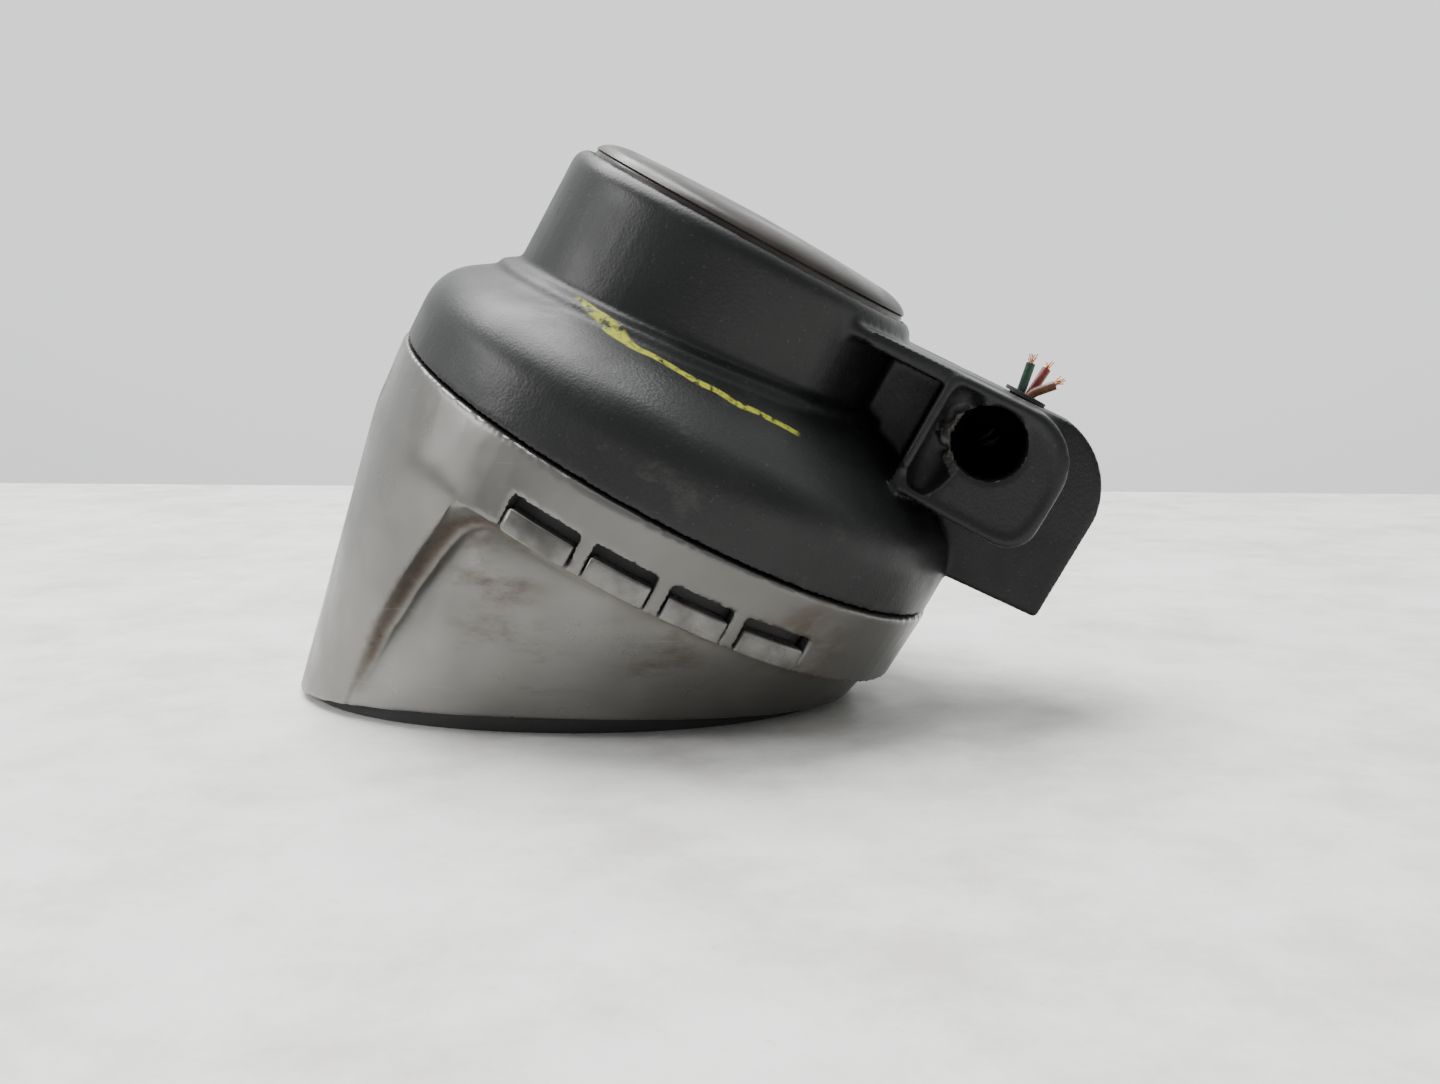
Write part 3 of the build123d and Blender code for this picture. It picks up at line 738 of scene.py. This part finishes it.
class POD_OT_keys(bpy.types.Operator):
    """Adds the four push keys, each with a face, a retaining flange and a plunger"""
    bl_idname = "pod.keys"
    bl_label = "Keys"

    def execute(self, context):
        finish = silver_keys()
        for number in range(1, KEY_COUNT + 1):
            node = f"key_{number}"
            start, end = self.arc(node)
            middle = (start + end) / 2
            face = turned_block(50.2, 54.95, -13.35, -9.35, start, end)
            if number in (1, KEY_COUNT):
                self.round_end(face, start if number == 1 else end)
            bevelled(face, 0.42, 3)
            flange = turned_block(50.25, 51.6, -10.6, -5.9, start - 0.9, end + 0.9)
            plunger = turned_block(48.9, 50.4, -11.6, -8.6, middle - 2, middle + 2, 3)
            fuse(face, flange, plunger)
            face.name = f"push_key_{number}"
            settle(face)
            shade(face)
            hand_over(face, f"key_{number}_body", finish, [node])
            face.data.materials.append(black_liner())
            mark_faces(face, np.hypot(*dial_coords(face).T[:2]) < 51.8, 1)
        return {"FINISHED"}

    def arc(self, node):
        """Start and end angle of a key's face, from its CAD solid."""
        u, v = dial_coords(frame["nodes"][node]).T[:2]
        face = np.hypot(u, v) > 53
        angles = np.degrees(np.arctan2(v[face], u[face]))
        return angles.min(), angles.max()

    def round_end(self, face, angle):
        """Rounds a key's two outward corners at one end."""
        pick_up(face)
        bpy.ops.object.mode_set(mode="EDIT")
        bpy.ops.mesh.select_all(action="DESELECT")
        bpy.ops.object.mode_set(mode="OBJECT")
        side = Vector((cos(radians(angle)), sin(radians(angle)), 0))
        across = Vector((-side.y, side.x, 0))
        points = face.data.vertices
        for edge in face.data.edges:
            a, b = (points[i].co for i in edge.vertices)
            radial = abs((a - b).normalized().dot(side)) > 0.9
            edge.select = radial and max(abs(a.dot(across)), abs(b.dot(across))) < 0.05 * MM
        bpy.ops.object.mode_set(mode="EDIT")
        bpy.ops.mesh.select_mode(type="EDGE")
        bpy.ops.mesh.bevel(offset=1.1 * MM, segments=5, affect="EDGES")
        bpy.ops.object.mode_set(mode="OBJECT")


class POD_OT_housing(bpy.types.Operator):
    """Adds the grained rear housing with its boss lip and torn screw well"""
    bl_idname = "pod.housing"
    bl_label = "Rear housing"

    def execute(self, context):
        shape = context.scene.pod_shape
        housing = mould_copy("rear_housing", "rear_shell")
        filler = self.tear_well(housing)
        fuse(housing, filler, self.boss_lip("near_lip", -1), self.boss_lip("far_lip", 1), *self.burrs())
        recast(housing, shape.housing_cell, 0)
        self.soften_edges(housing)
        thin_out(housing, HOUSING_FACES)
        shade(housing)
        hand_over(housing, CASE, black_grain(), ["rear_housing"])
        self.darken_wells(housing)
        return {"FINISHED"}

    def soften_edges(self, housing):
        """Rounds every edge but the screw hole's, and more so the drum's foot and top edge."""
        u, v, w = dial_coords(housing).T
        off_hole = ramp(np.hypot(u - WELL_U, w - WELL_W), 3.5, 4.5)
        soften_near(housing, np.where(np.abs(v) < 12, off_hole, 1.0), 3)
        u, v, w = dial_coords(housing).T
        radius = np.hypot(u - DRUM_U, v)
        foot = np.clip(1.4 - np.abs(radius - 38.0) / 3.2, 0, 1) * ramp(w, 16, 18) * ramp(w, 34, 32)
        soften_near(housing, foot * ramp(u, 30, 26), 10)
        top_edge = ramp(w, 35, 37) * (radius > 31) * (radius < 38) * (u < 29)
        soften_near(housing, top_edge, 15)

    def darken_wells(self, housing):
        """Paints shade into both screw wells with a dull black inside, and gives the broken edge its torn
        look.
        """
        dull = moulded("painted_well_shade", (0.0012, 0.0012, 0.0012), (0.003, 0.003, 0.003), 0.95,
                       specular=0.0, depth=0.03)
        housing.data.materials.append(dull)
        torn = moulded("torn_plastic", (0.03, 0.029, 0.028), (0.10, 0.095, 0.09), 0.8,
                       specular=0.3, depth=0.12, patch=700)
        housing.data.materials.append(torn)
        u, v, w = dial_coords(housing).T
        from_axis = np.hypot(u - WELL_U, w - WELL_W)
        left = np.degrees(np.arctan2(w - WELL_W, WELL_U - u))
        ragged = (v < -19.5) & (from_axis > 5.6) & (from_axis < 8.6) & (left > -75) & (left < 32)
        mark_faces(housing, ragged & (u < 46), 2)
        # Painted shade: the faces deep inside both wells get the dull black, standing in for their shadow.
        deep = (from_axis < WELL_REACH) & (np.abs(v) < 22.5) & (np.abs(v) > 5.0)
        mark_faces(housing, deep, 1)

    def boss_lip(self, name, side):
        """The rounded lip round a screw boss, standing a little proud of its face."""
        outline = [
            (37.9, 24.0), (37.9, 30.0), (37.9, 40.4), (39.0, 41.0), (46, 41.3), (54.0, 41.7),
            (58.9, 39.2), (61.9, 33.0), (61.9, 26.0), (60.6, 21.6), (57.0, 20.3), (48.0, 20.2),
            (38.5, 20.2),
        ]
        lip = tube_along(name, [(u, side * 23.6, w) for u, w in outline], 0.95)
        settle(lip)
        return lip

    def tear_well(self, housing):
        """Breaks the near well's wall into a dark hollow beside the rib, with a ragged edge."""
        put_down()
        bpy.ops.mesh.primitive_cube_add(size=1)
        filler = bpy.context.active_object
        self.set_blank(filler, (4.8, 5.6, 18.6), (40.9, -20.6, 31))
        settle(filler)
        draw = np.random.default_rng(7)
        hollow = ((4.3, 5.6, 10.6), (41.7, -24.6, 30.8), 0.0)
        ragged = ((3.2, 5.2, 5.4), (43.2, -23.8, 32.0), 0.4)
        for target, (scale, place, rough) in ((filler, hollow), (housing, hollow), (housing, ragged)):
            put_down()
            bpy.ops.mesh.primitive_ico_sphere_add(subdivisions=3 if rough else 5, radius=1)
            bite = bpy.context.active_object
            self.set_blank(bite, scale, place)
            for point in bite.data.vertices:
                point.co += Vector(draw.uniform(-rough, rough, 3)) * MM
            settle(bite)
            carve(target, bite)
        return filler

    def set_blank(self, blank, size, place):
        """Gives a new unit shape its size and place, in millimetres."""
        blank.scale = [length * MM for length in size]
        blank.location = [at * MM for at in place]
        bpy.ops.object.transform_apply(location=True, rotation=True, scale=True)

    def burrs(self):
        """Small torn slivers of plastic round the broken edge."""
        draw = np.random.default_rng(11)
        slivers = []
        for number in range(22):
            angle = radians(150 + 110 * number / 21) + draw.uniform(-0.08, 0.08)
            reach = 6.9 + draw.uniform(-0.7, 1.0)
            put_down()
            bpy.ops.mesh.primitive_cone_add(vertices=6, radius1=0.75 * MM, radius2=0.15 * MM,
                                            depth=draw.uniform(1.8, 3.2) * MM)
            sliver = bpy.context.active_object
            sliver.rotation_euler = (radians(90) + draw.uniform(-0.7, 0.7), draw.uniform(-0.8, 0.8), 0)
            sliver.location = ((WELL_U + reach * cos(angle)) * MM, draw.uniform(-21.6, -19.4) * MM,
                               (WELL_W + reach * sin(angle)) * MM)
            settle(sliver)
            slivers.append(sliver)
        return slivers


class POD_OT_cap(bpy.types.Operator):
    """Adds the domed cap that closes the drum"""
    bl_idname = "pod.cap"
    bl_label = "Rear cap"

    def execute(self, context):
        profile = [(30.4, 46.1), (30.4, 43.15), (31.4, 43.15), (31.85, 43.5), (31.85, 44.6), (31.7, 44.95)]
        profile += [(32.0 - 7.8 * (1 - cos(t)), 44.95 + 2.95 * sin(t)) for t in np.linspace(0.12, 1.5, 9)]
        profile += [(20.0, 48.15), (14.0, 48.4), (8.0, 48.6), (3.0, 48.68), (0.6, 48.7)]
        cap = lathe("drum_cap", profile, centre_u=DRUM_U)
        settle(cap)
        shade(cap)
        dusty = moulded("cap_plastic", (0.016, 0.0135, 0.012), (0.040, 0.032, 0.026), 0.32,
                        size=1400, depth=0.01, specular=0.35, patch=45)
        hand_over(cap, CASE, dusty, ["rear_cap"])
        return {"FINISHED"}


class POD_OT_wires(bpy.types.Operator):
    """Adds the frayed copper ends to the three cut wires and finishes their insulation"""
    bl_idname = "pod.wires"
    bl_label = "Cut wires"

    def execute(self, context):
        skins = {
            "wire_green": ((0.006, 0.030, 0.016), (0.012, 0.06, 0.03)),
            "wire_red": ((0.14, 0.014, 0.008), (0.20, 0.03, 0.015)),
            "wire_brown": ((0.11, 0.040, 0.014), (0.17, 0.07, 0.025)),
        }
        copper = moulded("copper", (0.50, 0.22, 0.10), (0.62, 0.34, 0.18), 0.35, size=3000,
                         depth=0.004, metallic=1.0, patch=900)
        draw = np.random.default_rng(5)
        for node, (skin, light) in skins.items():
            refinish(moulded(node, skin, light, 0.42, size=2500, depth=0.006, patch=500), node)
            tip, heading = self.end_of(node)
            strands = []
            for number in range(9):
                put_down()
                length = draw.uniform(1.6, 2.8) * MM
                bpy.ops.mesh.primitive_cylinder_add(vertices=8, radius=0.11 * MM, depth=length)
                strand = bpy.context.active_object
                splay = Vector(draw.uniform(-0.42, 0.42, 3))
                aim = (heading + splay).normalized()
                side = Vector(draw.uniform(-0.45, 0.45, 3)) * MM
                strand.rotation_mode = "QUATERNION"
                strand.rotation_quaternion = aim.to_track_quat("Z", "Y")
                strand.location = tip + side - side.dot(heading) * heading + aim * (length / 2 - 0.7 * MM)
                bpy.ops.object.transform_apply(location=True, rotation=True, scale=True)
                strands.append(strand)
            fuse(strands[0], *strands[1:])
            strands[0].name = node + "_strands"
            shade(strands[0])
            hand_over(strands[0], CASE, copper)
        return {"FINISHED"}

    def end_of(self, node):
        """The cut end of a wire and the way it points, in the row frame."""
        places = dial_coords(frame["nodes"][node])
        high = places[places[:, 2] > places[:, 2].max() - 1.0].mean(axis=0)
        low = places[np.abs(places[:, 2] - (places[:, 2].max() - 4.0)) < 0.9]
        low = low.mean(axis=0) if len(low) else high - (0, 0, 4)
        tip, back = dial_point(*high), dial_point(*low)
        return tip, (tip - back).normalized()


class POD_OT_inner(bpy.types.Operator):
    """Finishes the liner, the face and the works inside"""
    bl_idname = "pod.inner"
    bl_label = "Inner pieces"

    # Each finish: colour, lighter tone, roughness, metal, and the CAD nodes that wear it
    FINISHES = {
        "black_rubber": ((0.01, 0.01, 0.01), (0.03, 0.03, 0.03), 0.7, 0.0,
                         ("lens_gasket", "cap_seal", "wire_grommet")),
        "display_glass": ((0.02, 0.03, 0.03), (0.04, 0.05, 0.05), 0.1, 0.0, ("lcd_module",)),
        "clear_guide": ((0.7, 0.75, 0.75), (0.8, 0.85, 0.85), 0.2, 0.0, ("light_guide",)),
        "pointer_red": ((0.6, 0.03, 0.02), (0.7, 0.05, 0.03), 0.4, 0.0, ("pointer",)),
        "steel": ((0.5, 0.5, 0.5), (0.6, 0.6, 0.6), 0.3, 1.0,
                  ("motor_shaft", "chassis_screws", "board_screws", "housing_screws")),
        "motor_case": ((0.05, 0.05, 0.05), (0.08, 0.08, 0.08), 0.4, 0.0, ("pointer_motor",)),
        "circuit_green": ((0.01, 0.10, 0.04), (0.02, 0.14, 0.06), 0.35, 0.0, ("main_board",)),
        "lamp_white": ((0.8, 0.8, 0.7), (0.9, 0.9, 0.8), 0.3, 0.0, ("board_lamps",)),
        "connector_cream": ((0.7, 0.65, 0.5), (0.75, 0.7, 0.55), 0.4, 0.0, ("board_connector",)),
        "frame_white": ((0.6, 0.6, 0.58), (0.7, 0.7, 0.68), 0.5, 0.0, ("chassis",)),
        "circuit_amber": ((0.3, 0.12, 0.02), (0.4, 0.18, 0.03), 0.3, 0.0,
                          ("key_circuit", "ribbon_cable")),
        "grey_rubber": ((0.2, 0.2, 0.2), (0.25, 0.25, 0.25), 0.7, 0.0, ("key_mat",)),
    }

    def execute(self, context):
        refinish(black_liner(), "hood_liner", "dial_ring", "pointer_cap", "key_carrier")
        refinish(self.dial_print(), "dial_plate")
        for name, (colour, light, roughness, metallic, nodes) in self.FINISHES.items():
            refinish(moulded(name, colour, light, roughness, metallic=metallic), *nodes)
        refinish(self.clear_window(), "lens")
        return {"FINISHED"}

    def clear_window(self):
        """Clear acrylic with faint wiping marks."""
        made = Finish("clear_window", (0.96, 0.97, 0.97), 0.04)
        made.set("Transmission Weight", 1.0)
        made.set("IOR", 1.49)
        made.roughness(made.span(made.noise(90, detail=5), 0.3, 0.75, 0.02, 0.10))
        return made.material

    def dial_print(self):
        """A plain dial face with a ring of pale ticks."""
        made = Finish("dial_print", (0.012, 0.012, 0.014), 0.5)
        tick_count = 24
        centre = SEAM_CENTRE.dot(DIAL_U)
        across = made.sum(made.along(DIAL_U), centre, "SUBTRACT")
        upward = made.along(DIAL_V)
        squares = made.sum(made.sum(across, 2, "POWER"), made.sum(upward, 2, "POWER"))
        radius = made.sum(squares, 0.5, "POWER")
        turn = made.sum(made.sum(upward, across, "ARCTAN2"), tick_count / tau, "MULTIPLY")
        beside = made.sum(made.sum(made.sum(turn, 100.5), 1, "MODULO"), 0.5, "SUBTRACT")
        tick = made.span(made.sum(beside, 0, "ABSOLUTE"), 0.075, 0.06)
        ring = made.sum(made.span(radius, 33.5 * MM, 33.8 * MM),
                        made.span(radius, 39.8 * MM, 39.5 * MM), "MULTIPLY")
        mottle = made.span(made.noise(60), 0.3, 0.7)
        shade_of = made.blend(mottle, (0.012, 0.012, 0.014), (0.02, 0.02, 0.023))
        made.colour(made.blend(made.sum(tick, ring, "MULTIPLY"), shade_of, (0.75, 0.75, 0.72)))
        return made.material


class POD_OT_stage(bpy.types.Operator):
    """Adds the camera, the pale table and the soft lights"""
    bl_idname = "pod.stage"
    bl_label = "Stage"

    def execute(self, context):
        self.add_camera(context)
        self.add_table()
        self.add_lights()
        return {"FINISHED"}

    def add_camera(self, context):
        place = context.scene.pod_camera
        a, e, roll = place.azimuth, place.elevation, place.roll
        back = Vector((sin(a) * cos(e), -cos(a) * cos(e), sin(e)))
        level = Vector((cos(a), sin(a), 0))
        rise = back.cross(level)
        right = level * cos(roll) + rise * sin(roll)
        up = rise * cos(roll) - level * sin(roll)
        put_down()
        bpy.ops.object.camera_add()
        camera = context.active_object
        camera.name = "camera"
        aim = Vector((place.aim_side, 0, place.aim_height))
        camera.matrix_world = (Matrix.Translation(aim + back * place.distance)
                               @ Matrix((right, up, back)).transposed().to_4x4())
        camera.data.sensor_width = 36
        camera.data.lens = 37.5
        camera.data.clip_start = 0.01
        camera.data.clip_end = 20
        context.scene.camera = camera

    def add_table(self):
        put_down()
        bpy.ops.mesh.primitive_grid_add(x_subdivisions=24, y_subdivisions=24, size=1)
        table = bpy.context.active_object
        table.name = "table"
        far_edge, near_edge, half_width = 0.37, -2.6, 1.9
        table.location = (0, (far_edge + near_edge) / 2, 0)
        table.scale = (2 * half_width, far_edge - near_edge, 1)
        bpy.ops.object.transform_apply(location=True, rotation=True, scale=True)
        made = Finish("pale_table", (0.78, 0.77, 0.75), 0.42)
        wear = made.span(made.noise(22, detail=8, rough=0.75), 0.40, 0.66)
        specks = made.span(made.noise(420, detail=4, rough=0.7), 0.60, 0.72)
        base = made.blend(wear, (0.82, 0.815, 0.80), (0.64, 0.625, 0.585))
        base = made.blend(made.sum(specks, 0.35, "MULTIPLY"), base, (0.50, 0.47, 0.43))
        made.colour(base)
        made.roughness(made.span(made.noise(60, detail=5), 0.3, 0.7, 0.32, 0.55))
        made.bump(made.noise(500, detail=5), 0.05 * MM, 0.6)
        table.data.materials.append(made.material)

    def add_lights(self):
        world = bpy.data.worlds.new("pale_room")
        world.use_nodes = True
        sky = world.node_tree.nodes["Background"]
        nodes, links = world.node_tree.nodes, world.node_tree.links
        place = nodes.new("ShaderNodeTexCoord")
        dot = nodes.new("ShaderNodeVectorMath")
        dot.operation = "DOT_PRODUCT"
        dot.inputs[1].default_value = (-0.10, 0.75, 0.66)
        ramp = nodes.new("ShaderNodeValToRGB")
        ramp.color_ramp.elements[0].position = 0.05
        ramp.color_ramp.elements[0].color = (0.34, 0.345, 0.35, 1)
        ramp.color_ramp.elements[1].position = 0.72
        ramp.color_ramp.elements[1].color = (0.86, 0.875, 0.87, 1)
        links.new(place.outputs["Generated"], dot.inputs[0])
        links.new(dot.outputs["Value"], ramp.inputs["Fac"])
        links.new(ramp.outputs["Color"], sky.inputs["Color"])
        sky.inputs["Strength"].default_value = 1.5
        bpy.context.scene.world = world
        softboxes = [
            ("overhead", (-0.25, 0.25, 1.0), 0.9, 26.0),
            ("left_side", (-1.0, -0.35, 0.55), 0.5, 7.0),
        ]
        for name, place, size, power in softboxes:
            put_down()
            bpy.ops.object.light_add(type="AREA", location=place)
            light = bpy.context.active_object
            light.name = name
            light.data.size = size
            light.data.energy = power
            light.rotation_mode = "QUATERNION"
            light.rotation_quaternion = (Vector(place) - Vector((0, 0, 0.04))).to_track_quat("Z", "Y")


class POD_PT_panel(bpy.types.Panel):
    """Lists the pod's operators"""
    bl_idname = "POD_PT_panel"
    bl_label = "Instrument pod"
    bl_space_type = "VIEW_3D"
    bl_region_type = "UI"
    bl_category = "Pod"

    def draw(self, context):
        for operator in OPERATORS:
            self.layout.operator(operator.bl_idname)


GROUPS = {
    "pod_paint": PodPaint,
    "pod_plastic": PodPlastic,
    "pod_shape": PodShape,
    "pod_camera": PodCamera,
}
OPERATORS = (
    POD_OT_stage,
    POD_OT_inner,
    POD_OT_hood,
    POD_OT_keys,
    POD_OT_housing,
    POD_OT_cap,
    POD_OT_wires,
)


def register():
    for made in (*GROUPS.values(), *OPERATORS, POD_PT_panel):
        bpy.utils.register_class(made)
    for name, group in GROUPS.items():
        setattr(bpy.types.Scene, name, bpy.props.PointerProperty(type=group))


def unregister():
    for name in GROUPS:
        delattr(bpy.types.Scene, name)
    for made in (POD_PT_panel, *reversed(OPERATORS), *reversed(GROUPS.values())):
        bpy.utils.unregister_class(made)


def main():
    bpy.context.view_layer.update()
    register()
    for operator in OPERATORS:
        group, name = operator.bl_idname.split(".")
        getattr(getattr(bpy.ops, group), name)()


if __name__ == "__main__":
    main()
